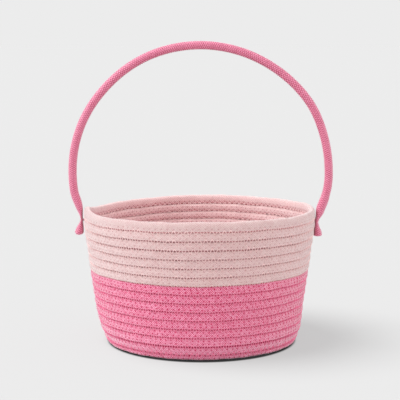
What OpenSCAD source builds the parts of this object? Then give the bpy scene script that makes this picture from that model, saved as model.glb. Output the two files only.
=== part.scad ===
// Round Easter basket of coiled cotton rope with one swinging arch handle.
// Millimetres. +Z is up, the origin is the centre of the underside, and the
// handle's two ends are tacked to the wall at -X and +X.

/* [Basket] */
// Outside diameter at the rim
rim_d = 228.6; // [200:0.1:260]
// Height of one turn of the wall's rope along the wall
course_h = 8.45; // [8:0.05:9.5]
// Thickness of the wall's rope, outside to inside
rope_t = 8.2; // [7.6:0.1:8.6]
// Radius of the bulge on each face of the rope
bulge_r = 8; // [7:0.5:12]
// Height of the rim's turn above its seam
rim_h = 9.5; // [9:0.1:11]
// Lean of the wall from the vertical, in degrees
wall_lean = 8.4; // [4:0.2:12]
// Lean of the lowest turn, which starts the curve into the base
foot_lean = 70; // [60:1:74]
// Lean of the second turn, which ends that curve
heel_lean = 25; // [18:1:30]
// Number of hot pink turns in the wall
hot_turns = 9; // [7:1:11]

/* [Base] */
// Width taken by each turn of the base's spiral
coil_pitch = 8.4; // [8:0.1:9]
// Gap between turns, bridged by the stitching
coil_gap = 0.15; // [0.1:0.05:0.3]
// Depth that the underside is pressed flat
foot_flat = 0.25; // [0.15:0.05:0.4]

/* [Stitching] */
// Diameter of the sewing thread
thread_d = 0.8; // [0.5:0.1:1]
// Space between thread and rope
thread_gap = 0.03; // [0.02:0.01:0.1]

/* [Handle] */
// Diameter of the handle's rope
handle_d = 8.5; // [7.5:0.1:9]
// Diameter of the stiff core inside it
core_d = 3; // [2:0.1:4]
// How much larger the radius at the top of the arch is than at its shoulders
arch_flatten = 3.5; // [0:0.5:8]
// Thickness of the neck at the tack
neck_t = 3.6; // [3:0.1:4.4]
// Width of the neck at the tack
neck_w = 11.6; // [10:0.1:13]
// Length of the tail below the tack
tail_l = 17; // [14:0.5:20]

/* [Tacks] */
// Diameter of the bundle of thread through neck and wall
tack_d = 2; // [1.6:0.1:2.4]
// Radial clearance of the neck on that bundle
tack_play = 0.06; // [0.03:0.01:0.09]

/* [Hidden] */
$fn = 128;
turns = 15;
hot_pink = [0.87, 0.36, 0.52];
pale_pink = [0.93, 0.76, 0.75];
half_t = rope_t / 2;
// Lean of turn i from the vertical: the foot curves in, the top stands nearly upright.
function lean(i) =
  i == 1 ? foot_lean :
  i == 2 ? heel_lean :
  i == 3 ? wall_lean + 1.5 :
  i > turns - 2 ? wall_lean * (turns + 1 - i) / 6 : wall_lean;
// Middle of the rope at seam j, counted from the base (0) to the rim (turns).
function seam_r(j) =
  j >= turns ? rim_d / 2 - half_t : seam_r(j + 1) - course_h * sin(lean(j + 1));
function seam_z(j) =
  j <= 0 ? half_t : seam_z(j - 1) + course_h * cos(lean(j));
function seam(j) = [seam_r(j), seam_z(j)];
// Direction across the rope at seam j, shared by the turns above and below it.
function across_angle(j) =
  j <= 0 ? -90 : j >= turns ? 0 : -(lean(j) + lean(j + 1)) / 2;
function across(j) = [cos(across_angle(j)), sin(across_angle(j))];
function outward(i) = [cos(lean(i)), -sin(lean(i))];
thread_r = thread_d / 2;
// How far the thread's centre stays from the centre of a bulge.
thread_reach = bulge_r + thread_r + thread_gap;
// Distance of the thread from the middle of seam j, where the wall may bend:
// side is 1 in the outer groove and -1 in the inner one.
function bend(j) = j >= turns ? lean(turns) : (lean(j) - lean(j + 1)) / 2;
function thread_lean(j, side) =
  side * course_h / 2 * sin(bend(j)) + (bulge_r - half_t) * cos(bend(j));
function thread_off(j, side) =
  sqrt(pow(thread_lean(j, side), 2) + pow(thread_reach, 2)
    - pow(course_h / 2, 2) - pow(bulge_r - half_t, 2)) - thread_lean(j, side);

// Spiral of the base: upper half-turns about the origin, lower ones about +X.
base_r = seam_r(0);
coil_w = coil_pitch - coil_gap;
coil_turns = floor((base_r - 3) / coil_pitch);
coil_r0 = base_r - coil_turns * coil_pitch - coil_w / 2;

// Arch, right half in X and Z: four circles, each tangent to the next where both
// centres and the joint lie on one ray. The rays have the slopes 4:3, 1:0 and
// 12:-5, so that each joint's plane is the same number for both of its circles.
top_ray = [0.8, 0.6];
neck_ray = [12, -5] / 13;
side_r = 97.5;
neck_r = 26;
tack_z = round(5 * (seam_z(turns - 1) + seam_z(turns))) / 10;
span = round(10 * (rim_d / 2 + 12.2)) / 10;
top_r = span + 0.2 * arch_flatten;
shoulder_r = span - 0.8 * arch_flatten;
waist_z = tack_z + (side_r + neck_r) * 5 / 13;
shoulder_c = [0.8 * arch_flatten, waist_z];
top_c = shoulder_c - arch_flatten * top_ray;
side_c = shoulder_c + [shoulder_r - side_r, 0];
neck_p = side_c + side_r * neck_ray;
tack_x = neck_p[0] + neck_r * neck_ray[0] - neck_r;
neck_in = tack_x - neck_t / 2;

// Section of one turn of the wall, cut at the two seams it shares.
module turn_section(i) {
  mid = (seam(i - 1) + seam(i)) / 2;
  reach = bulge_r - half_t;
  intersection() {
    translate(mid - reach * outward(i)) circle(bulge_r);
    translate(mid + reach * outward(i)) circle(bulge_r);
    polygon([
      seam(i - 1) - 7 * across(i - 1), seam(i - 1) + 7 * across(i - 1),
      seam(i) + 7 * across(i), seam(i) - 7 * across(i)
    ]);
  }
}

module wall_turn(i) {
  color(i <= hot_turns ? hot_pink : pale_pink)
    difference() {
      rotate_extrude() turn_section(i);
      if (i == turns)
        translate([0, 0, tack_z])
          rotate([0, 90, 0]) cylinder(h = rim_d + 20, d = tack_d, center = true);
    }
}

// The last turn stands taller and its top is round.
module rim_turn() {
  cap_z = seam_z(turns) + rim_h - half_t;
  lift = rim_h - half_t;
  face_r = 10.5;
  color(pale_pink)
    rotate_extrude()
      translate([seam_r(turns), cap_z]) {
        circle(half_t);
        intersection() {
          translate([half_t - face_r, 0]) circle(face_r);
          translate([face_r - half_t, 0]) circle(face_r);
          translate([-7, -lift]) square([14, lift]);
        }
      }
}

// Section of the base's rope: bulged above and below, pressed flat underneath.
module coil_section() {
  intersection() {
    translate([0, rope_t - bulge_r]) circle(bulge_r);
    translate([0, bulge_r - foot_flat]) circle(bulge_r);
    translate([-coil_w / 2, 0]) square([coil_w, rope_t]);
  }
}

// Half-turns of any section along the spiral, from the centre out.
module spiral(first_r, count) {
  for (k = [0 : count - 1])
    translate([k % 2 == 0 ? 0 : coil_pitch / 2, 0, 0])
      rotate_extrude(angle = 180, start = k % 2 == 0 ? 0 : 180)
        translate([first_r + k * coil_pitch / 2, 0]) children();
}

// Tapered run-out of the rope, between the last half-turn and the wall.
module run_out() {
  inner_r = coil_r0 + (2 * coil_turns - 1) * coil_pitch / 2 + coil_w / 2 + coil_gap;
  linear_extrude(rope_t - foot_flat)
    intersection() {
      difference() {
        circle(base_r);
        translate([coil_pitch / 2, 0]) circle(inner_r);
      }
      translate([-base_r - 1, -base_r - 1]) square([1.8 * base_r, base_r + 1]);
    }
}

// The rope's bent start, which fills the middle of the spiral.
module coil_start() {
  r = coil_r0 + coil_pitch / 2 - coil_w / 2 - coil_gap;
  linear_extrude(rope_t - foot_flat)
    intersection() {
      translate([coil_pitch / 2, 0]) circle(r);
      translate([-r, -2 * r]) square([4 * r, 2 * r]);
    }
}

module base_coil() {
  color(hot_pink) {
    coil_start();
    spiral(coil_r0, 2 * coil_turns + 1) coil_section();
    run_out();
  }
}

// Thread in the grooves of the base, inside the basket and underneath.
module base_stitching() {
  rise = sqrt(pow(thread_reach, 2) - pow(coil_pitch / 2, 2));
  color(hot_pink)
    for (z = [bulge_r - foot_flat - rise, rope_t - bulge_r + rise])
      spiral(coil_r0 + coil_pitch / 2, 2 * coil_turns - 1)
        translate([0, z]) circle(thread_r, $fn = 24);
}

// Thread in the outer and inner groove of the seams first to last.
module wall_stitching(first, last) {
  for (j = [first : last], side = [-1, 1])
    rotate_extrude()
      translate(seam(j) + side * thread_off(j, side) * across(j))
        circle(thread_r, $fn = 24);
}

module lower_stitching() {
  color(hot_pink) wall_stitching(1, hot_turns - 1);
}

module upper_stitching() {
  color(pale_pink) wall_stitching(hot_turns, turns);
}

// Bundle of thread through the neck and the wall, with a bar outside and a knot inside.
module tack() {
  inner_x = rim_d / 2 - rope_t - 0.3;
  outer_x = tack_x + neck_t / 2 + 0.08;
  color(hot_pink)
    translate([0, 0, tack_z])
      rotate([0, 90, 0]) {
        translate([0, 0, inner_x - 1.6]) cylinder(h = 1.6, d = tack_d + 2);
        translate([0, 0, inner_x - 0.1]) cylinder(h = outer_x - inner_x + 0.2, d = tack_d);
        translate([0, 0, outer_x]) cylinder(h = 1, d = tack_d + 2.4);
      }
}

module tack_right() {
  tack();
}

module tack_left() {
  mirror([1, 0, 0]) tack();
}

// Part of a ring about centre c, between two rays, with any round section.
module arc(c, r, from, to) {
  intersection() {
    translate(c) rotate_extrude() translate([r, 0]) children();
    linear_extrude(30, center = true)
      polygon([c, c + 260 * from, c + 260 * (from + to), c + 260 * to]);
  }
}

// The arch's right half down to the neck.
module arch_half() {
  rotate([90, 0, 0]) {
    arc(top_c, top_r, [0, 1], top_ray) children();
    arc(shoulder_c, shoulder_r, top_ray, [1, 0]) children();
    arc(side_c, side_r, [1, 0], neck_ray) children();
  }
}

// Side outline of the flattened neck and the tail below it, in X and Z.
module neck_outline() {
  out = tack_x + neck_t / 2;
  polygon([
    neck_p - 6.5 * neck_ray, neck_p + 6.5 * neck_ray,
    neck_p + [3.4, -4], [out, tack_z + 3], [out, tack_z - 2.5],
    [out + 4.6, tack_z - tail_l + 6], [out + 5.2, tack_z - tail_l + 2.6],
    [out + 3.2, tack_z - tail_l + 0.4], [neck_in + 1.6, tack_z - tail_l],
    [neck_in, tack_z - tail_l + 1.2], [neck_in, tack_z + 4]
  ]);
}

// The neck and tail: a turned body cut to that outline and bored for the tack.
module handle_end() {
  foot = tack_z - tail_l;
  top = neck_p[1];
  difference() {
    intersection() {
      rotate([90, 0, 0])
        linear_extrude(neck_w + 4, center = true) neck_outline();
      translate([neck_p[0], 0, 0])
        rotate_extrude()
          polygon([
            [0, foot - 1], [neck_w / 2 - 1, foot - 1],
            [neck_w / 2 - 0.2, foot + 3], [neck_w / 2, tack_z - 3],
            [neck_w / 2, tack_z + 3], [handle_d / 2 + 0.2, top - 2],
            [handle_d / 2 + 0.2, top + 6], [0, top + 6]
          ]);
    }
    translate([neck_in - 5, 0, tack_z])
      rotate([0, 90, 0]) cylinder(h = 20, d = tack_d + 2 * tack_play);
  }
}

module rope_section() {
  difference() {
    circle(d = handle_d, $fn = 48);
    circle(d = core_d, $fn = 48);
  }
}

module handle_rope() {
  color(hot_pink)
    for (side = [0, 1])
      mirror([side, 0, 0]) {
        arch_half() rope_section();
        handle_end();
      }
}

module handle_core() {
  color("silver")
    for (side = [0, 1])
      mirror([side, 0, 0]) arch_half() circle(d = core_d, $fn = 48);
}

base_coil();
wall_turn(1);  // wall_turn_01
wall_turn(2);  // wall_turn_02
wall_turn(3);  // wall_turn_03
wall_turn(4);  // wall_turn_04
wall_turn(5);  // wall_turn_05
wall_turn(6);  // wall_turn_06
wall_turn(7);  // wall_turn_07
wall_turn(8);  // wall_turn_08
wall_turn(9);  // wall_turn_09
wall_turn(10);  // wall_turn_10
wall_turn(11);  // wall_turn_11
wall_turn(12);  // wall_turn_12
wall_turn(13);  // wall_turn_13
wall_turn(14);  // wall_turn_14
wall_turn(15);  // wall_turn_15
rim_turn();
base_stitching();
lower_stitching();
upper_stitching();
tack_left();
tack_right();
handle_rope();
handle_core();
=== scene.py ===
import math

import bpy
import numpy as np
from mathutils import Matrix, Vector


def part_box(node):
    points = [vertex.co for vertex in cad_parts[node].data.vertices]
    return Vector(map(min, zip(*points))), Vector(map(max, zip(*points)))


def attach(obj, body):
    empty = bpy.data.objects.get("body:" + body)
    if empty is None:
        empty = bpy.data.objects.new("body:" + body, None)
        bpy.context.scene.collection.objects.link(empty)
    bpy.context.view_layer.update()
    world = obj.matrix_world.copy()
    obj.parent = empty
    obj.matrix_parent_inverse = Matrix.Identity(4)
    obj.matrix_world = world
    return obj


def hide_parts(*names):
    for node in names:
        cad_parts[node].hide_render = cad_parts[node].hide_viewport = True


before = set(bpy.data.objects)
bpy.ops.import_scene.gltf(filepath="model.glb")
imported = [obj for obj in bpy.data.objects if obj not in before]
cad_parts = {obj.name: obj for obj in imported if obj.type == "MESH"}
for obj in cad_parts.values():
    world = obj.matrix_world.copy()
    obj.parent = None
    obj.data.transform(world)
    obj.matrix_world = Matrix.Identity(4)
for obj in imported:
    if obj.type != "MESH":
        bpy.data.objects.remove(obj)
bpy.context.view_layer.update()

# ---------------------------------------------------------------- sizes, in mm and degrees
MM = 0.001
TURNS = 15
HOT_TURNS = 9
PITCH = 8.45                     # height of one turn along the wall
HALF_T = 4.1                     # half the rope's thickness
HALF_H = 4.36                    # half a turn's height, seam overlap included
RIM_R = 114.3                    # outside radius at the rim
RIM_RISE = 4.6                   # middle of the rim above the last seam
WALL_LEAN = 8.4                  # lean of the straight wall from the vertical
FOOT_LEAN = (90.0, 70.0, 25.0, 9.9)   # the same where the wall curves up from the base
FOOT = np.array([91.2, 4.2])     # middle of the lowest turn, which lies nearly flat
FOOT_TILT = 82.0                 # lean of the lowest turn's band
BAND_TILT = 8.5                  # the other bands stand steeper than the wall's own slope
POWER_IN = 2.7                   # the rope is rounder on the inner face
COIL_PITCH = 8.78                # pitch of the base's spiral
BASE_LIFT = 0.35                 # the base's rope lies this far above the floor
STITCHES = 124                   # zigzag stitches in one turn
STITCH_REACH = 2.6               # needle holes above and below a seam
THREAD_R = 0.48
HANDLE_D = 8.2
ARCH_FOOT = 142                  # height where the handle's arch meets its necks
ARCH_STEP, NECK_STEP = 0.5, 0.45   # spacing of the handle's rows of points
TACK_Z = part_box("tack_right")[0].z / MM + 2.2   # the tack's outer bar is 4.4 mm across
TACK_X = 117.0

# lengths on the UV maps
LAP = 28.0                       # once round a sewn rope: 0 outside, 7 top, 14 inside, 21 bottom
HOLE_ROW = 1.5                   # needle holes, from the middle of the outer or inner face
HOLE, HOLE_SLANT = (0.3, 0.95), 0.5   # radii between which a hole fades out, and its slant
GROOVE_SHADE = (3.25, 4.1)             # where the painted shade in the groove at a seam starts, and where it is full
FOOT_ROLL = 6                    # the lowest turn lies down, and its seams roll with it
STITCH_LENGTH = 5.7              # one stitch along the rope
THREAD_LAP = 2.6                 # once round a thread
HANDLE_LAP = 26.7                # once round the handle's rope
HANDLE_CELL = (2.1, HANDLE_LAP / 6)   # one cell of the handle's braid, along and around
STRAND_ACROSS, STRAND_ALONG = 0.7, 0.25   # powers that round off a braid's strands


def lean(i):
    """Lean of wall turn i from the vertical; the last turns straighten up."""
    if i < len(FOOT_LEAN):
        return FOOT_LEAN[i]
    return WALL_LEAN * (TURNS + 1 - i) / 6 if i > TURNS - 2 else WALL_LEAN


def seams():
    """Radius and height of the rope's middle at every seam, base first."""
    r = [RIM_R - HALF_T]
    z = [HALF_T]
    for i in range(TURNS, 0, -1):
        r.insert(0, r[0] - PITCH * math.sin(math.radians(lean(i))))
    for i in range(1, TURNS + 1):
        z.append(z[-1] + PITCH * math.cos(math.radians(lean(i))))
    return np.array(r), np.array(z)


SEAM_R, SEAM_Z = seams()
# where each seam's stitches start, as a share of one stitch
PHASE = np.random.default_rng(7).random(TURNS + 2)


# ---------------------------------------------------------------- number helpers
def smooth(x, low, high):
    """0 at `low` and 1 at `high`, with a soft step between them."""
    t = np.clip((x - low) / (high - low), 0, 1)
    return t * t * (3 - 2 * t)


def eased(values, width):
    """Values with their corners rounded off over a window of `width` samples."""
    window = np.hanning(width)
    padded = np.pad(values, width // 2, mode="edge")
    return np.convolve(padded, window / window.sum(), mode="valid")


def smooth_through(at, x, y):
    """Interpolation with the corners rounded off."""
    fine = np.arange(x[0] - 6, x[-1] + 6, 0.1)
    return np.interp(at, fine, eased(np.interp(fine, x, y), 41))


def unit(rows, spare=0.0):
    """Rows scaled to length 1; `spare` keeps rows of length 0 finite."""
    return rows / (np.linalg.norm(rows, axis=1)[:, None] + spare)


# ---------------------------------------------------------------- mesh helpers
def add_piece(name, mesh, material, body, nodes):
    """Put a mesh into the scene as a piece of a body, in place of CAD nodes."""
    mesh.materials.append(material)
    piece = bpy.data.objects.new(name, mesh)
    bpy.context.scene.collection.objects.link(piece)
    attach(piece, body)
    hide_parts(*nodes)


def uv_grid(per_row, per_column):
    """A UV map whose u is given per row of points and whose v is given per column."""
    return np.meshgrid(per_row, per_column, indexing="ij")


def grid_object(name, points, closed_u, maps, material, body, nodes):
    """A mesh from an (nu, nv, 3) array of points in mm, closed in v. A UV map has one row or column
    more than the points where the mesh is closed."""
    nu, nv = points.shape[:2]
    rows = nu if closed_u else nu - 1
    iu, iv = np.meshgrid(np.arange(rows), np.arange(nv), indexing="ij")
    ju, jv = (iu + 1) % nu, (iv + 1) % nv
    quads = np.stack([iu * nv + iv, ju * nv + iv, ju * nv + jv, iu * nv + jv], -1).reshape(-1, 4)
    mesh = bpy.data.meshes.new(name)
    mesh.vertices.add(nu * nv)
    mesh.vertices.foreach_set("co", (points * MM).astype(np.float32).ravel())
    mesh.loops.add(quads.size)
    mesh.loops.foreach_set("vertex_index", quads.astype(np.int32).ravel())
    mesh.polygons.add(len(quads))
    mesh.polygons.foreach_set("loop_start", np.arange(0, quads.size, 4, dtype=np.int32))
    mesh.polygons.foreach_set("loop_total", np.full(len(quads), 4, np.int32))
    mesh.polygons.foreach_set("use_smooth", np.ones(len(quads), bool))
    for layer, (along_u, along_v) in maps.items():
        uv = mesh.uv_layers.new(name=layer)
        corners = []
        for du, dv in ((0, 0), (1, 0), (1, 1), (0, 1)):
            corners.append(np.stack([along_u[iu + du, iv + dv], along_v[iu + du, iv + dv]], -1))
        uv.data.foreach_set("uv", np.stack(corners, 2).reshape(-1).astype(np.float32))
    mesh.update()
    mesh.validate()
    add_piece(name, mesh, material, body, nodes)


def band_section(count, half_t, half_h, power_up, power_down, power_in=None):
    """Closed outline of a flattened rope, and the place of each of its points on the lap."""
    a = np.linspace(0, 2 * np.pi, 2001)
    power = np.where(np.sin(a) >= 0, power_up, power_down)
    if power_in:
        power = np.where(np.cos(a) < 0, power_in, power)
    x = half_t * np.sign(np.cos(a)) * np.abs(np.cos(a)) ** (2 / power)
    y = half_h * np.sign(np.sin(a)) * np.abs(np.sin(a)) ** (2 / power)
    length = np.concatenate([[0], np.cumsum(np.hypot(np.diff(x), np.diff(y)))])
    quarters = length[::500]
    place = np.interp(length, quarters, np.linspace(0, LAP, 5))
    at = np.linspace(0, LAP, count + 1)
    return np.interp(at, place, x), np.interp(at, place, y), at


def section_normals(x, y):
    """Outward normals of a closed outline."""
    dx = np.roll(x[:-1], -1) - np.roll(x[:-1], 1)
    dy = np.roll(y[:-1], -1) - np.roll(y[:-1], 1)
    return unit(np.stack([dy, -dx], -1))


def tube_rings(path, across, up, radius, sides):
    """Circles of points round a path, one for each of its points."""
    a = np.linspace(0, 2 * np.pi, sides, endpoint=False)[None, :, None]
    return path[:, None] + radius * (np.cos(a) * up[:, None] + np.sin(a) * across[:, None])


def closed_tube(path, radius, sides):
    """A tube round a path that goes about Z and closes on itself."""
    ahead = unit(np.roll(path, -1, 0) - np.roll(path, 1, 0))
    radial = unit(path * [1, 1, 0], 1e-9)
    across = unit(np.cross(ahead, radial), 1e-9)
    return tube_rings(path, across, np.cross(across, ahead), radius, sides)


def open_tube(path, radius, sides):
    """A tube round a path with two ends; no path here runs along its guide."""
    guide = np.array([0.3, 0.5, 0.8])
    ahead = unit(np.gradient(path, axis=0))
    across = unit(np.cross(ahead, guide))
    return tube_rings(path, across, np.cross(across, ahead), radius, sides)


# ---------------------------------------------------------------- hand-made irregularity
# how far the rim rises or dips: degrees from the right tack towards the back, and mm
RIM_LEVEL = ((0, -0.8), (15, -1.0), (30, -2.0), (60, -2.4), (90, -2.9), (120, -4.0), (147, -5.5),
             (163, -5.6), (172, -3.6), (180, 0.2), (195, -0.9), (210, -2.0), (240, -1.2),
             (270, 0.3), (300, -0.6), (330, -1.4), (360, -0.8))


def rim_level(phi):
    """The rim's level at an angle, with the corners of the list rounded off."""
    angle, level = np.array(RIM_LEVEL, float).T
    fine = np.arange(-20, 380, 0.5)
    values = eased(np.interp(np.mod(fine, 360), angle, level), 33)
    return np.interp(np.mod(np.degrees(phi), 360), fine, values)


def wall_warp(points):
    """Rope and thread share this: the wall is wavy, out of round and pulled up at the left tack."""
    x, y, z = points[..., 0], points[..., 1], points[..., 2]
    phi = np.arctan2(y, x)
    up = smooth(z, 4, 60)
    high = smooth(z, 62, 130)
    dz = rim_level(phi) * high
    dz += up * (0.16 * np.sin(5 * phi + 0.4) + 0.12 * np.sin(11 * phi + z * 0.05)
                + 0.08 * np.sin(23 * phi + z * 0.3))
    dr = up * (0.15 * np.sin(4 * phi + 2.1) + 0.12 * np.sin(9 * phi + z * 0.09)
               + 0.07 * np.sin(27 * phi + z * 0.21))
    # a shallow waist in the pale part
    dr -= 0.8 * smooth(z, 78, 94) * (1 - smooth(z, 107, 120))
    # the foot bulges at the front right and draws in at the left
    outer = smooth(np.hypot(x, y), 85, 93)
    foot_right = np.exp(-((phi + 0.45) / 0.55) ** 2) * (1 - smooth(z, 8, 45)) * outer
    foot_left = np.exp(-((np.abs(phi) - np.pi) / 0.6) ** 2) * (1 - smooth(z, 4, 34)) * outer
    dr += 1.9 * foot_right - 2.4 * foot_left
    out = points.copy()
    out[..., 0] += dr * np.cos(phi)
    out[..., 1] += dr * np.sin(phi)
    out[..., 2] += dz
    return out


def about_z(r, z, phi):
    """Points at a radius and a height, turned to an angle about Z."""
    return np.stack([r * np.cos(phi), r * np.sin(phi), z], -1)


# ---------------------------------------------------------------- node helpers
class Nodes:
    """Short names for building a material's node tree."""

    def __init__(self, name):
        self.material = bpy.data.materials.new(name)
        self.material.use_nodes = True
        self.tree = self.material.node_tree
        self.shader = self.tree.nodes["Principled BSDF"]

    def put(self, socket, value):
        """Link another socket to this one, or give it a value."""
        if isinstance(value, bpy.types.NodeSocket):
            self.tree.links.new(value, socket)
        else:
            socket.default_value = value

    def look(self, values):
        """Set or link the shader's own sockets."""
        for name, value in values.items():
            self.put(self.shader.inputs[name], value)

    def math(self, operation, a, b=None, c=None, clamp=False):
        node = self.tree.nodes.new("ShaderNodeMath")
        node.operation = operation
        node.use_clamp = clamp
        for socket, value in zip(node.inputs, (a, b, c)):
            if value is not None:
                self.put(socket, value)
        return node.outputs[0]

    def add(self, a, b):
        return self.math("ADD", a, b)

    def sub(self, a, b):
        return self.math("SUBTRACT", a, b)

    def mul(self, a, b):
        return self.math("MULTIPLY", a, b)

    def div(self, a, b):
        return self.math("DIVIDE", a, b)

    def clamped(self, value):
        """The value kept between 0 and 1."""
        return self.math("ADD", value, 0.0, clamp=True)

    def step(self, value, low, high, to_low=0.0, to_high=1.0):
        """A soft step from one value to another."""
        node = self.tree.nodes.new("ShaderNodeMapRange")
        node.interpolation_type = "SMOOTHSTEP"
        self.put(node.inputs["Value"], value)
        node.inputs["From Min"].default_value = low
        node.inputs["From Max"].default_value = high
        node.inputs["To Min"].default_value = to_low
        node.inputs["To Max"].default_value = to_high
        return node.outputs["Result"]

    def split(self, vector):
        """The three parts of a vector, by the names X, Y and Z."""
        node = self.tree.nodes.new("ShaderNodeSeparateXYZ")
        self.tree.links.new(vector, node.inputs[0])
        return node.outputs

    def place(self):
        """The place on the piece, in metres."""
        return self.tree.nodes.new("ShaderNodeTexCoord").outputs["Object"]

    def uv(self, layer):
        node = self.tree.nodes.new("ShaderNodeUVMap")
        node.uv_map = layer
        parts = self.split(node.outputs["UV"])
        return parts["X"], parts["Y"]

    def noise(self, scale, detail, rough, stretch=(1, 1, 1)):
        mapping = self.tree.nodes.new("ShaderNodeMapping")
        mapping.inputs["Scale"].default_value = stretch
        self.tree.links.new(self.place(), mapping.inputs["Vector"])
        node = self.tree.nodes.new("ShaderNodeTexNoise")
        node.inputs["Scale"].default_value = scale
        node.inputs["Detail"].default_value = detail
        node.inputs["Roughness"].default_value = rough
        self.tree.links.new(mapping.outputs["Vector"], node.inputs["Vector"])
        return node.outputs["Fac"]

    def mix(self, factor, a, b):
        """Colour a at factor 0 and colour b at factor 1."""
        node = self.tree.nodes.new("ShaderNodeMix")
        node.data_type = "RGBA"
        self.put(node.inputs[0], factor)
        self.put(node.inputs[6], a)
        self.put(node.inputs[7], b)
        return node.outputs[2]

    def bump(self, height, strength, distance):
        node = self.tree.nodes.new("ShaderNodeBump")
        node.inputs["Strength"].default_value = strength
        node.inputs["Distance"].default_value = distance
        self.tree.links.new(height, node.inputs["Height"])
        return node.outputs["Normal"]


def srgb(r, g, b):
    """Linear colour from 0 to 255 values."""
    c = np.array([r, g, b]) / 255
    c = np.where(c <= 0.04045, c / 12.92, ((c + 0.055) / 1.055) ** 2.4)
    return (*c, 1.0)


# ---------------------------------------------------------------- materials
def braid_height(n, u, v, along, around):
    """Height of a plain braid, 0 in the gaps to 1 on the strands; u is along the rope, v around."""
    a = n.add(n.div(u, along), n.div(v, around))
    b = n.sub(n.div(u, along), n.div(v, around))
    checker = n.math("FLOORED_MODULO", n.add(n.math("FLOOR", a), n.math("FLOOR", b)), 2.0)
    ridge_a = n.math("SINE", n.mul(n.math("FRACT", a), math.pi))
    ridge_b = n.math("SINE", n.mul(n.math("FRACT", b), math.pi))
    over_a = n.mul(n.math("POWER", ridge_a, STRAND_ACROSS), n.math("POWER", ridge_b, STRAND_ALONG))
    over_b = n.mul(n.math("POWER", ridge_b, STRAND_ACROSS), n.math("POWER", ridge_a, STRAND_ALONG))
    return n.add(n.mul(over_a, checker), n.mul(over_b, n.sub(1.0, checker)))


def braid(u, v, along, around):
    """The same braid as braid_height, for moving the mesh."""
    a, b = u / along + v / around, u / along - v / around
    checker = np.mod(np.floor(a) + np.floor(b), 2)
    ridge_a, ridge_b = np.sin(np.pi * np.mod(a, 1)), np.sin(np.pi * np.mod(b, 1))
    over_a = ridge_a ** STRAND_ACROSS * ridge_b ** STRAND_ALONG
    over_b = ridge_b ** STRAND_ACROSS * ridge_a ** STRAND_ALONG
    return over_a * checker + over_b * (1 - checker)


def fold(n, v, half):
    """Distance of v from the nearest whole multiple of twice `half`."""
    return n.math("ABSOLUTE", n.sub(n.math("FLOORED_MODULO", n.add(v, half), 2 * half), half))


def sewn_look(n, v, braid_up, dark, height, light, hole_shade_depth, groove_shade_depth, inner=None,
              crown=False):
    """Adds painted shade in the needle holes and in the grooves at the seams, and painted light and
    shade on the inner face (`inner` is its paler colour, painted light). A crown has neither holes
    nor groove shade in its upper half."""
    level = n.split(n.place())["Z"]
    # painted bounce light from the floor: the rows in the lowest 34 mm are a little paler
    dark = n.sub(dark, n.step(level, 0.004, 0.034, 0.16, 0.0))
    up, down = n.uv("stitch")
    place = n.math("FLOORED_MODULO", v, LAP)
    high = n.math("LESS_THAN", place, LAP / 2)
    low = n.sub(1.0, high)
    inside = n.math("LESS_THAN", n.math("ABSOLUTE", n.sub(place, LAP / 2)), LAP / 4)
    stitch = n.add(n.mul(up, high), n.mul(down, low))
    off = fold(n, v, LAP / 2)
    face = n.math("MINIMUM", off, n.sub(LAP / 2, off))
    # a needle hole is a slanting spot that fades out between the two radii of HOLE
    row = n.sub(face, HOLE_ROW)
    along = n.mul(n.sub(n.math("FRACT", stitch), 0.5), STITCH_LENGTH)
    along = n.math("MULTIPLY_ADD", row, HOLE_SLANT, along)
    far = n.math("SQRT", n.add(n.mul(along, along), n.mul(row, row)))
    hole = n.step(far, *HOLE, 1.0, 0.0)
    # painted light on the top of a turn's inner face, and painted shade on its bottom down into the
    # seam
    painted_lit_top = n.mul(inside, high)
    painted_shade_low = n.mul(inside, low)
    # painted shade in the groove at each seam, none on the inner face's painted-lit top
    groove_shade = n.mul(n.step(face, *GROOVE_SHADE, 0.0, groove_shade_depth), n.sub(1.0, painted_lit_top))
    groove_shade = n.add(groove_shade, n.mul(painted_shade_low, n.step(face, 0.4, 3.8, 0.0, 0.3)))
    # no painted groove shade on the face that lies on the floor
    groove_shade = n.mul(groove_shade, n.step(level, 0.0008, 0.0025))
    if crown:
        hole = n.mul(hole, low)
        groove_shade = n.mul(groove_shade, low)
    # painted shade in the needle holes, deeper on the inner face
    dark = n.add(dark, n.mul(hole, n.math("MULTIPLY_ADD", inside, 0.35, hole_shade_depth)))
    dark = n.add(dark, groove_shade)
    # painted light: the inner face is paler as a whole; painted shade: deeper in the braid's gaps
    dark = n.sub(dark, n.math("MULTIPLY_ADD", painted_lit_top, 0.1, n.mul(inside, 0.10)))
    dark = n.math("MULTIPLY_ADD", n.sub(1.0, braid_up), n.mul(inside, 0.42), dark)
    # painted light: the inner face takes the paler colour `inner`
    if inner:
        light = n.mix(inside, light, inner)
    return dark, n.sub(height, n.mul(hole, 0.35)), light


def cotton_rope(name, light, deep, gap, speck, sheen, cell=(2.28, 2.0), rough=0.95, gloss=0.1,
                sewn=None):
    """Braided cotton whose strands follow the rope's own UV map. `gap` darkens the gaps between the
    strands, `speck` the spots between the fibres; `sewn` has what sewn_look asks for."""
    n = Nodes(name)
    u, v = n.uv("rope")
    braid_up = n.step(braid_height(n, u, v, *cell), 0.05, 0.85)
    fibre = n.noise(1300, 3.0, 0.7)
    mottle = n.noise(150, 2.0, 0.5)
    dark = n.mul(n.sub(1.0, braid_up), gap)
    dark = n.add(dark, n.step(fibre, 0.36, 0.64, speck, -speck * 0.4))
    dark = n.add(dark, n.step(mottle, 0.3, 0.7, 0.06, -0.04))
    height = n.add(n.mul(braid_up, 0.30), n.mul(fibre, 0.16))
    if sewn:
        dark, height, light = sewn_look(n, v, braid_up, dark, height, light, **sewn)
    dark = n.clamped(dark)
    n.look({"Base Color": n.mix(dark, light, deep),
            "Roughness": rough,
            "Specular IOR Level": gloss,
            "Sheen Weight": n.mul(n.sub(1.0, dark), sheen),
            "Sheen Roughness": 0.5,
            "Sheen Tint": (1, 1, 1, 1),
            "Normal": n.bump(height, 1.0, 0.0009)})
    return n.material


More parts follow.
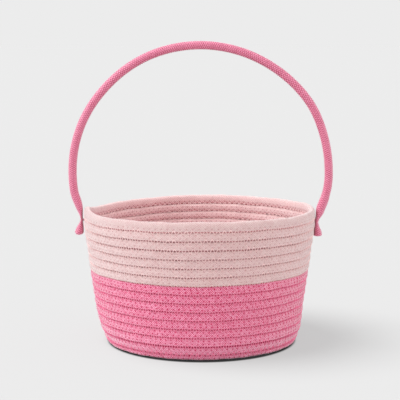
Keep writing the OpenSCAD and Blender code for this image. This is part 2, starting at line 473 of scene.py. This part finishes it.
def cotton_thread(name, light, deep):
    """Two-ply sewing thread: a twist along its UV map."""
    n = Nodes(name)
    u, v = n.uv("rope")
    turn = n.mul(n.add(n.div(u, 0.9), n.div(v, THREAD_LAP)), 2 * math.pi)
    twist = n.math("MULTIPLY_ADD", n.math("SINE", turn), 0.5, 0.5)
    fibre = n.noise(2600, 2.0, 0.6)
    dark = n.mul(n.sub(1.0, twist), n.step(fibre, 0.2, 0.8, 0.3, 0.8))
    n.look({"Base Color": n.mix(dark, light, deep),
            "Roughness": 0.75,
            "Specular IOR Level": 0.15,
            "Sheen Weight": 0.2,
            "Sheen Tint": light,
            "Normal": n.bump(n.add(twist, n.mul(fibre, 0.5)), 0.7, 0.0002)})
    return n.material


def plain_wire():
    """Drawn metal, for the core inside the handle."""
    n = Nodes("core_wire")
    drawn = n.noise(900, 2.0, 0.5, (1, 1, 0.05))
    n.look({"Base Color": n.mix(drawn, (0.45, 0.45, 0.46, 1), (0.62, 0.62, 0.63, 1)),
            "Metallic": 1.0,
            "Roughness": n.step(drawn, 0.2, 0.8, 0.3, 0.5)})
    return n.material


HOT = cotton_rope("hot_pink_rope", srgb(248, 164, 193), srgb(206, 32, 86), gap=0.86, speck=0.56,
                  sheen=1.0, sewn=dict(hole_shade_depth=1.1, groove_shade_depth=1.0))
PALE_LOOK = dict(gap=0.34, speck=0.26, sheen=0.8)
# inner is a paler colour for the inner face, painted light
PALE_SEWN = dict(inner=srgb(247, 213, 211), hole_shade_depth=0.34, groove_shade_depth=0.72)
PALE = cotton_rope("pale_pink_rope", srgb(229, 199, 197), srgb(188, 104, 110), **PALE_LOOK,
                   sewn=PALE_SEWN)
RIM = cotton_rope("rim_rope", srgb(226, 198, 196), srgb(190, 106, 112), **PALE_LOOK,
                  sewn=dict(PALE_SEWN, crown=True))
HANDLE = cotton_rope("handle_rope", srgb(240, 139, 172), srgb(190, 30, 82), gap=1.0, speck=0.34,
                     sheen=1.0, cell=HANDLE_CELL, rough=0.5, gloss=0.8)
HOT_THREAD = cotton_thread("hot_pink_thread", srgb(255, 150, 182), srgb(222, 70, 118))
PALE_THREAD = cotton_thread("pale_pink_thread", srgb(250, 217, 215), srgb(226, 178, 178))
WIRE = plain_wire()


# ---------------------------------------------------------------- wall of coiled rope
def band_axes(i):
    """Outward and upward directions of turn i's band, in the plane of its profile."""
    steeper = BAND_TILT * (0.5 if i > TURNS else 1)
    tilt = math.radians(FOOT_TILT if i == 1 else lean(i) - steeper)
    return (np.array([math.cos(tilt), -math.sin(tilt)]),
            np.array([math.sin(tilt), math.cos(tilt)]))


def band_size(i):
    """Half thickness, half height and the outline's powers above and below."""
    if i > TURNS:
        return 3.3, 4.95, 2.7, 4.6
    if i == 1:
        return 3.9, 4.5, 3.0, 3.0
    return 3.75, HALF_H, 4.6, 4.6


def band_centre(i):
    """Radius and height of the band's middle; its outer face stays where the CAD's is."""
    out = band_axes(i)[0]
    spare = HALF_T - band_size(i)[0]
    if i > TURNS:
        return np.array([SEAM_R[-1], SEAM_Z[-1] + RIM_RISE]) + spare * out
    if i == 1:
        return FOOT
    middle = np.array([(SEAM_R[i - 1] + SEAM_R[i]) / 2, (SEAM_Z[i - 1] + SEAM_Z[i]) / 2])
    return middle + spare * out


def needle_dimples(u, v, up_phase, down_phase, rim):
    """How deep the stitching pulls the rope in, at stitch count u and place v on the lap."""
    off = np.abs(np.mod(v + LAP / 2, LAP) - LAP / 2)
    row = np.minimum(off, LAP / 2 - off) - HOLE_ROW
    phase = np.where(v < LAP / 2, up_phase, down_phase)
    du = (np.mod(u + phase, 1) - 0.5) * STITCH_LENGTH
    depth = 0.3 * np.exp(-(du ** 2 + row ** 2) / 0.5)
    if rim:
        depth = np.where(v < LAP / 2, 0, depth)
    return depth


def rope_turn(i):
    """One closed turn of braided rope; the turn after the last is the rim."""
    rim = i > TURNS
    hot = i <= HOT_TURNS
    rows_per_stitch = 6
    half_t, half_h, power_up, power_down = band_size(i)
    x, y, at = band_section(36, half_t, half_h, power_up, power_down, POWER_IN)
    normal = section_normals(x, y)
    stitch = np.arange(STITCHES * rows_per_stitch + 1) / rows_per_stitch
    u = stitch[:-1]
    phi = 2 * np.pi * u / STITCHES
    depth = needle_dimples(u[:, None], at[None, :-1], PHASE[i] + 0.5, PHASE[i - 1], rim)
    lump = 0.12 * np.sin(phi * 17 + 9 * PHASE[i]) + 0.1 * np.sin(phi * 41 + 5 * PHASE[i - 1])
    offset = lump[:, None] - depth
    px = x[:-1] + normal[:, 0] * offset
    py = y[:-1] + normal[:, 1] * offset
    out, up = band_axes(i)
    centre = band_centre(i)
    r = centre[0] + px * out[0] + py * up[0]
    z = np.maximum(centre[1] + px * out[1] + py * up[1], 0.0)
    points = wall_warp(about_z(r, z, phi[:, None]))
    maps = {"rope": uv_grid(stitch * STITCH_LENGTH, at - FOOT_ROLL if i == 1 else at),
            "stitch": (uv_grid(stitch + PHASE[i] + 0.5, at)[0],
                       uv_grid(stitch + PHASE[i - 1], at)[0])}
    name = "rim_rope" if rim else f"rope_turn_{i:02d}"
    node = "rim_turn" if rim else f"wall_turn_{i:02d}"
    grid_object(name, points, True, maps, HOT if hot else RIM if rim else PALE, "basket", [node])


for turn in range(1, TURNS + 2):
    rope_turn(turn)


# ---------------------------------------------------------------- zigzag stitching
def face_point(i, height, side):
    """Radius and height of a point on turn i's outer or inner face, height being along the band."""
    half_t, half_h, power_up, power_down = band_size(i)
    power = POWER_IN if side < 0 else power_up if height > 0 else power_down
    reach = half_t * (1 - min(abs(height) / half_h, 0.999) ** power) ** (1 / power)
    out, up = band_axes(i)
    return band_centre(i) + side * reach * out + height * up


def stitch_profile(j, side, steps):
    """The thread's way across seam j, from the hole below to the hole above."""
    low, high = j, j + 1
    out = (band_axes(low)[0] + band_axes(high)[0]) / 2
    rise = np.linspace(-1, 1, steps)
    half_low = band_size(low)[1] - (HALF_H - PITCH / 2)
    half_high = band_size(high)[1] - 0.3 if high > TURNS else PITCH / 2
    # at the foot and at the change of colour the thread hardly shows on the turn below
    short = side > 0 and low in (1, HOT_TURNS)
    below = 0.7 if short else STITCH_REACH
    points = []
    for s in rise:
        if s < 0:
            points.append(face_point(low, half_low - below * -s, side))
        else:
            points.append(face_point(high, -half_high + STITCH_REACH * s, side))
    points = np.array(points)
    # the thread spans the seam instead of following it down
    for k in range(1, steps - 1):
        share = (rise[k] + 1) / 2
        line = points[1] * (1 - share) + points[-2] * share
        gap = (line - points[k]) @ (side * out)
        if gap > 0:
            points[k] += side * out * gap * 0.92
    sink = 0.12 + 0.62 * np.abs(rise) ** 1.6
    if short:
        sink = sink + 0.5 * smooth(rise, 0.5, -0.5)
    points -= side * out * sink[:, None]
    return points


def zigzag(j, side):
    """The thread along seam j, on the outer face (side 1) or on the inner face (side -1)."""
    steps, sides = 6, 5
    profile = stitch_profile(j, side, steps)
    leg = np.arange(STITCHES * 2)[:, None]
    step = np.arange(steps - 1)
    stitch = (leg + step / (steps - 1)) / 2
    index = np.where(leg % 2 == 0, step, steps - 1 - step)
    r, z = profile[index, 0], profile[index, 1]
    # the lower holes of seam j lie at whole numbers of stitches less the phase
    phi = 2 * np.pi * (stitch - PHASE[j]) / STITCHES
    path = wall_warp(about_z(r.ravel(), z.ravel(), phi.ravel()))
    ahead = np.diff(path, axis=0, append=path[:1])
    length = np.concatenate([[0], np.cumsum(np.linalg.norm(ahead, axis=1))])
    hot = j < HOT_TURNS
    where = "outside" if side > 0 else "inside"
    grid_object(f"zigzag_{where}_{j:02d}", closed_tube(path, THREAD_R, sides), True,
                {"rope": uv_grid(length, np.arange(sides + 1) / sides * THREAD_LAP)},
                HOT_THREAD if hot else PALE_THREAD, "basket",
                ["lower_stitching" if hot else "upper_stitching"])


for seam in range(1, TURNS + 1):
    for face in (1, -1):
        zigzag(seam, face)


# ---------------------------------------------------------------- base: one spiral of rope
BASE_R = FOOT[0] - 4.3           # where the spiral meets the lowest turn
COIL_TURNS = int((BASE_R - 3) // COIL_PITCH)
COIL_R0 = BASE_R - COIL_TURNS * COIL_PITCH - (COIL_PITCH - 0.15) / 2


def coil_path(shift, first, last, step):
    """Points of the base's spiral, half-turn by half-turn: place, outward direction, own radius and
    length so far."""
    rows = []
    length = 0.0
    for k in range(first, last + 1):
        radius = COIL_R0 + k * COIL_PITCH / 2 + shift
        centre = 0.0 if k % 2 == 0 else COIL_PITCH / 2
        count = max(10, int(round(math.pi * max(radius, 1) / step)))
        for t in range(count):
            a = math.pi * (t / count + (k % 2))
            rows.append((centre + radius * math.cos(a), radius * math.sin(a),
                         math.cos(a), math.sin(a), radius, length + radius * math.pi * t / count))
        length += radius * math.pi
    return np.array(rows)


def base_rope():
    """The base's rope, from the middle out to the wall."""
    step = 1.4
    path = coil_path(0.0, -1, 2 * COIL_TURNS + 1, step)
    x, y, at = band_section(28, COIL_PITCH / 2 + 0.03, HALF_T, 3.6, 3.6)
    radius = path[:, 4][:, None]
    across = np.maximum(x[:-1], 0.04 - radius)
    # the last half-turn narrows between the turn before it and the wall
    tail = len(path) - int(round(math.pi * path[-1, 4] / step))
    a = np.arctan2(path[tail:, 1], path[tail:, 0])
    before = COIL_R0 + COIL_TURNS * COIL_PITCH - 0.1
    inner = (COIL_PITCH / 2 * np.cos(a)
             + np.sqrt(before ** 2 - (COIL_PITCH / 2 * np.sin(a)) ** 2))
    width = np.clip(BASE_R - inner, 0.3, None)
    middle = BASE_R - width / 2
    path[tail:, :4] = np.stack([middle * np.cos(a), middle * np.sin(a), np.cos(a), np.sin(a)], -1)
    across[tail:] = x[:-1] * (width / COIL_PITCH)[:, None]
    u = path[:, 5] / STITCH_LENGTH
    lump = 0.1 * np.sin(u * 1.9) + 0.08 * np.sin(u * 4.3 + 1)
    up = y[:-1] + np.sign(y[:-1]) * lump[:, None]
    z = np.maximum(HALF_T + BASE_LIFT + np.minimum(up, HALF_T - 0.3), BASE_LIFT)
    points = np.stack([path[:, 0:1] + across * path[:, 2:3],
                       path[:, 1:2] + across * path[:, 3:4], z], -1)
    # the rope lies flat here, so its seams are at the outline's sides
    length = np.append(path[:, 5], path[-1, 5] + step)
    rope_u, rope_v = uv_grid(length, at - LAP / 4)
    stitch = rope_u / STITCH_LENGTH
    grid_object("base_rope", points, False, {"rope": (rope_u, rope_v), "stitch": (stitch, stitch)},
                HOT, "basket", ["base_coil"])


base_rope()


def base_zigzag(name, z, lift):
    """Zigzag thread over the spiral's seam, from hole to hole."""
    sides = 5
    row_length = 1.3
    seam = coil_path(COIL_PITCH / 2, 1, 2 * COIL_TURNS - 1, 0.95)
    t = seam[:, 5] / STITCH_LENGTH
    swing = 2 * np.abs(2 * (t - np.floor(t + 0.5))) - 1
    across = STITCH_REACH * swing
    over = z + lift * (0.35 - 0.55 * swing ** 8)
    path = np.stack([seam[:, 0] + across * seam[:, 2], seam[:, 1] + across * seam[:, 3], over], -1)
    points = closed_tube(path, THREAD_R, sides)[1:-1]   # without the rows that would close it
    grid_object(name, points, False,
                {"rope": uv_grid(np.arange(len(points) + 1) * row_length,
                                 np.arange(sides + 1) / sides * THREAD_LAP)},
                HOT_THREAD, "basket", ["base_stitching"])


base_zigzag("base_zigzag_inside", 2 * HALF_T, 1.0)
base_zigzag("base_zigzag_below", THREAD_R + 0.06, -0.1)


# ---------------------------------------------------------------- handle
# the necks and tails: height above the floor, middle and half thickness
LEFT_END = ((142, 122.7, 4.25), (139, 121.6, 4.2), (131, 119.2, 3.5), (127, 118.3, 2.3),
            (123, 117.5, 1.35), (119.3, 117.1, 1.0), (115, 117.8, 2.2), (111, 118.8, 3.6),
            (107, 119.8, 4.4), (103.5, 119.6, 4.4))
RIGHT_END = ((142, 125.2, 4.35), (139, 124.1, 4.5), (135, 122.4, 4.6), (131, 120.75, 4.45),
             (127, 119.85, 4.15), (123, 118.45, 2.85), (119.3, 116.95, 1.65), (116, 116.6, 1.9),
             (111, 117.1, 2.9), (107, 117.9, 3.9), (102.5, 118.1, 4.4))


def arc_points(centre, radius, start, end):
    """Points of an arc, without its last one."""
    count = max(4, int(round(abs(end - start) * radius / ARCH_STEP)))
    a = np.linspace(start, end, count, endpoint=False)
    return np.stack([centre[0] + radius * np.cos(a), centre[1] + radius * np.sin(a)], -1)


def arch_line():
    """The CAD's middle line in X and Z, from the apex down the right side to its tail's end."""
    top, bend = math.atan2(0.6, 0.8), math.atan2(-5, 12)
    span = TACK_X + 9.5
    waist = TACK_Z + 47.5
    parts = [arc_points((0, waist - 2.1), span + 0.7, math.pi / 2, top),
             arc_points((2.8, waist), span - 2.8, top, 0),
             arc_points((29, waist), 97.5, 0, bend),
             arc_points((TACK_X + 26, TACK_Z), 26, math.pi + bend, math.pi)]
    tail = np.arange(TACK_Z, TACK_Z - 17.5, -ARCH_STEP)
    parts.append(np.stack([np.full(len(tail), TACK_X), tail], -1))
    return np.concatenate(parts)


def handle_half(side, ends):
    """Middle line, half thickness and half width of one side, from the apex down."""
    ends = np.array(ends)[::-1]
    line = arch_line()
    arch = line[line[:, 1] > ARCH_FOOT]
    z = arch[:, 1]
    # how far each side of the arch leaves the CAD's line
    if side > 0:
        spread = 1.6 + 1.3 * np.exp(-((z - 235) / 24) ** 2) - 0.6 * smooth(z, 255, 285)
        low = 1.4 * np.exp(-((z - 146) / 12) ** 2)
    else:
        spread = -0.75 - 0.9 * np.exp(-((z - 256) / 26) ** 2)
        low = 0
    arch = arch + np.stack([spread * smooth(z, 138, 165) + low, np.zeros_like(z)], -1)
    down = np.arange(ARCH_FOOT - 0.4, ends[0, 0] - 0.1, -NECK_STEP)
    end = np.stack([smooth_through(down, ends[:, 0], ends[:, 1]), down], -1)
    line = np.concatenate([arch, end])
    thick = np.concatenate([np.full(len(arch), HANDLE_D / 2),
                            smooth_through(down, ends[:, 0], ends[:, 2])])
    below = TACK_Z - line[:, 1]
    wide = HANDLE_D / 2 + 1.3 * np.exp(-(below / 7) ** 2) + 1.0 * smooth(below, 2, 14)
    # ease the arch into the neck
    near = np.exp(-((line[:, 1] - (ARCH_FOOT + 1)) / 13) ** 4)
    for values in (line[:, 0], thick):
        values += (eased(values, 33) - values) * near
    # round off the tail's end
    from_end = line[:, 1] - line[-1, 1]
    tip_length = 3.4 if side < 0 else 1.6
    tip = np.sqrt(np.clip(1 - (1 - np.clip(from_end / tip_length, 0, 1)) ** 2, 0, 1))
    tip = np.clip(tip, 0.03, 1)
    line[:, 0] *= side
    return line, thick * tip, wide * tip


def handle_rope():
    """The whole handle: tail, neck, arch, neck and tail, with its braid in the mesh."""
    left, thick_l, wide_l = handle_half(-1, LEFT_END)
    right, thick_r, wide_r = handle_half(1, RIGHT_END)
    line = np.concatenate([left[::-1], right[1:]])
    thick = np.concatenate([thick_l[::-1], thick_r[1:]])
    wide = np.concatenate([wide_l[::-1], wide_r[1:]])
    # ease the two halves into each other over the top
    for axis in (0, 1):
        near = np.exp(-(line[:, 0] / 45) ** 4) * (line[:, 1] > 200)
        line[:, axis] += (eased(line[:, axis], 81) - line[:, axis]) * near
    u = np.concatenate([[0], np.cumsum(np.hypot(*np.diff(line, axis=0).T))])
    ahead = unit(np.gradient(line, axis=0))
    side = np.stack([ahead[:, 1], -ahead[:, 0]], -1)
    around = 72
    a = np.linspace(0, 2 * np.pi, around, endpoint=False)
    v = a / (2 * np.pi) * HANDLE_LAP
    height = braid(u[:, None], v[None, :], *HANDLE_CELL)
    shrink = thick / (HANDLE_D / 2)
    grow = (height - 0.6) * 0.5 * shrink[:, None]
    sway = (0.15 * np.sin(u * 0.11) + 0.1 * np.sin(u * 0.31 + 1)) * smooth(line[:, 1], 125, 150)
    in_plane = (thick[:, None] + grow) * np.cos(a)[None, :]
    across = (wide[:, None] + grow) * np.sin(a)[None, :] + sway[:, None]
    points = np.stack([line[:, 0:1] + in_plane * side[:, 0:1], across,
                       line[:, 1:2] + in_plane * side[:, 1:2]], -1)
    grid_object("handle_braid", points, False,
                {"rope": uv_grid(u, np.arange(around + 1) / around * HANDLE_LAP)},
                HANDLE, "handle", ["handle_rope"])


handle_rope()
core = bpy.data.objects["handle_core"]
for held in core.material_slots:
    held.material = WIRE


# ---------------------------------------------------------------- tacks
def tack_paths(waist):
    """The middle lines of a right tack's threads; `waist` is how far out the neck reaches."""
    inner_face = 105.2
    bundle = 0.62
    paths = []
    # straight through the neck and the wall
    for strand in range(6):
        a = strand * math.pi / 3
        y, z = bundle * math.cos(a), TACK_Z + bundle * math.sin(a)
        paths.append(np.array([[x, y, z] for x in np.linspace(inner_face, waist, 30)]))
    # crossed over outside, and knotted inside
    t = np.linspace(-1, 1, 15)
    bow = np.sqrt(np.clip(1 - t ** 2, 0, 1))
    for strand in range(5):
        a = strand * math.pi / 5 + 0.2
        front = waist + 0.4 * bow + 0.04 * strand
        paths.append(np.stack([front, 2.3 * t * math.cos(a), TACK_Z + 1.3 * t * math.sin(a)], -1))
        back = inner_face + 0.1 - 0.9 * bow - 0.08 * strand
        paths.append(np.stack([back, 2.0 * t * math.sin(a), TACK_Z + 2.0 * t * math.cos(a)], -1))
    return paths


def tack(name, side, waist):
    """A bundle of thread through neck and wall, as one mesh of tubes with closed ends."""
    sides = 8
    row_length = 0.5
    strip = THREAD_LAP / sides
    verts, faces, corner_uv = [], [], []
    for path in tack_paths(waist):
        ring = open_tube(path * [side, 1, 1], THREAD_R, sides)
        base = len(verts)
        rows = len(ring)
        verts += [tuple(p * MM) for row in ring for p in row]
        for r in range(rows - 1):
            here, there = base + r * sides, base + (r + 1) * sides
            for c in range(sides):
                d = (c + 1) % sides
                faces.append((here + c, here + d, there + d, there + c))
                u, v = r * row_length, c * strip
                corner_uv += [(u, v), (u, v + strip), (u + row_length, v + strip),
                              (u + row_length, v)]
        for r in (0, rows - 1):
            faces.append(tuple(base + r * sides + c for c in range(sides)))
            corner_uv += [(0, 0)] * sides
    mesh = bpy.data.meshes.new(name)
    mesh.from_pydata(verts, [], faces)
    mesh.uv_layers.new(name="rope").data.foreach_set("uv", np.array(corner_uv, np.float32).ravel())
    mesh.polygons.foreach_set("use_smooth", np.ones(len(faces), bool))
    node = "tack_right" if side > 0 else "tack_left"
    add_piece(name, mesh, HOT_THREAD, "basket", [node])


tack("tack_threads_right", 1, 118.2)
tack("tack_threads_left", -1, 117.5)


# ---------------------------------------------------------------- floor, light, camera
SKY = 0.8388                     # brightness around the horizon, and of the floor
DOME = 0.98                      # the same overhead
FLOOR_SHARE = 0.08               # the floor scatters little of the light that falls on it
FLOOR_LAMP, FLOOR_LAMP_POWER = (-0.46, 0.0, 0.88), 10.8
SKY_ON_FLOOR = DOME + (SKY - DOME) * 0.09
LIGHT_ON_FLOOR = SKY_ON_FLOOR + FLOOR_LAMP[2] * FLOOR_LAMP_POWER / math.pi
# the floor glows just enough to end up as bright as the sky behind it
FLOOR_GLOW = 1 - FLOOR_SHARE * LIGHT_ON_FLOOR / SKY
PAINTED_SHADOW_MIDDLE = (0.0022, -0.0062)      # middle of the painted contact shadow under the foot, in metres
PAINTED_SHADOW_EDGE = (0.0914, 0.0954)  # radii between which it fades out
PAINTED_SHADOW_TONE = 0.06              # what it leaves of the floor's brightness


def floor():
    """A disc that reaches past the horizon, with a painted contact shadow under the foot and close
    in front of it.
    """
    corners = 48
    radii = (0.5, 1.0, 2.0, 4.0, 8.0, 16.0, 40.0, 120.0)
    verts = [(0, 0, 0)]
    for r in radii:
        verts += [(r * math.cos(a), r * math.sin(a), 0)
                  for a in np.linspace(0, 2 * math.pi, corners, endpoint=False)]
    faces = [(0, 1 + k, 1 + (k + 1) % corners) for k in range(corners)]
    for ring in range(len(radii) - 1):
        first = 1 + ring * corners
        for k in range(corners):
            a, b = first + k, first + (k + 1) % corners
            faces.append((a, a + corners, b + corners, b))
    mesh = bpy.data.meshes.new("floor")
    mesh.from_pydata(verts, [], faces)
    n = Nodes("studio_floor")
    parts = n.split(n.place())
    x = n.sub(parts["X"], PAINTED_SHADOW_MIDDLE[0])
    y = n.sub(parts["Y"], PAINTED_SHADOW_MIDDLE[1])
    far = n.math("SQRT", n.add(n.mul(x, x), n.mul(y, y)))
    # painted contact shadow: the floor's colour and glow darken in a ring under the foot
    outside_painted_shadow = n.step(far, *PAINTED_SHADOW_EDGE, PAINTED_SHADOW_TONE, 1.0)
    pale = (FLOOR_SHARE, FLOOR_SHARE, FLOOR_SHARE, 1)
    n.look({"Base Color": n.mix(outside_painted_shadow, (0, 0, 0, 1), pale),
            "Roughness": 1.0,
            "Specular IOR Level": 0.0,
            "Emission Color": (SKY, SKY, SKY, 1),
            "Emission Strength": n.mul(outside_painted_shadow, FLOOR_GLOW)})
    mesh.materials.append(n.material)
    piece = bpy.data.objects.new("floor", mesh)
    bpy.context.scene.collection.objects.link(piece)
    return piece


def floor_group(name, state):
    """A light group that holds the floor alone, or all but the floor."""
    group = bpy.data.collections.new(name)
    group.objects.link(FLOOR)
    group.collection_objects[0].light_linking.link_state = state
    return group


def sun(name, towards, strength, angle, lights, colour=(1, 1, 1)):
    """A far lamp in the direction `towards` from the object."""
    lamp = bpy.data.lights.new(name, "SUN")
    lamp.color = colour
    lamp.energy = strength
    lamp.angle = math.radians(angle)
    piece = bpy.data.objects.new(name, lamp)
    piece.rotation_euler = Vector(towards).to_track_quat("Z", "Y").to_euler()
    piece.light_linking.receiver_collection = lights
    bpy.context.scene.collection.objects.link(piece)


def studio_sky():
    """An even sky around the horizon and a brighter one overhead."""
    world = bpy.data.worlds.new("studio")
    world.use_nodes = True
    tree = world.node_tree
    direction = tree.nodes.new("ShaderNodeTexCoord")
    split = tree.nodes.new("ShaderNodeSeparateXYZ")
    height = tree.nodes.new("ShaderNodeMapRange")
    height.interpolation_type = "SMOOTHSTEP"
    height.inputs["From Min"].default_value = 0.17
    height.inputs["From Max"].default_value = 0.45
    height.inputs["To Min"].default_value = SKY
    height.inputs["To Max"].default_value = DOME
    tree.links.new(direction.outputs["Generated"], split.inputs[0])
    tree.links.new(split.outputs["Z"], height.inputs["Value"])
    tree.links.new(height.outputs["Result"], tree.nodes["Background"].inputs["Strength"])
    tree.nodes["Background"].inputs["Color"].default_value = (1, 1, 1, 1)
    bpy.context.scene.world = world


def studio_camera():
    """The photo's point of view: in front of the basket and a little above its rim."""
    camera = bpy.data.cameras.new("camera")
    camera.sensor_width = 36
    camera.lens = 108
    camera.shift_x = 0.0015
    camera.clip_end = 500
    view = bpy.data.objects.new("camera", camera)
    view.location = (0, -1.1830, 0.2934)
    aim = Vector((0, 0, 0.1389))
    view.rotation_euler = (aim - view.location).to_track_quat("-Z", "Y").to_euler()
    bpy.context.scene.collection.objects.link(view)
    bpy.context.scene.camera = view


FLOOR = floor()
studio_sky()
on_floor = floor_group("floor_only", "INCLUDE")
on_object = floor_group("all_but_floor", "EXCLUDE")
sun("shadow", FLOOR_LAMP, FLOOR_LAMP_POWER, 42, on_floor)
sun("key", (-0.78, -0.14, 0.60), 2.2, 45, on_object, (0.88, 1.0, 1.0))
sun("front", (0.05, -0.97, 0.22), 0.32, 40, on_object)
sun("fill", (0.95, -0.05, 0.30), 0.75, 60, on_object, (1.0, 0.95, 0.95))
studio_camera()
bpy.context.scene.view_settings.view_transform = "Standard"
bpy.context.scene.cycles.denoising_prefilter = "NONE"   # keeps the fine braid
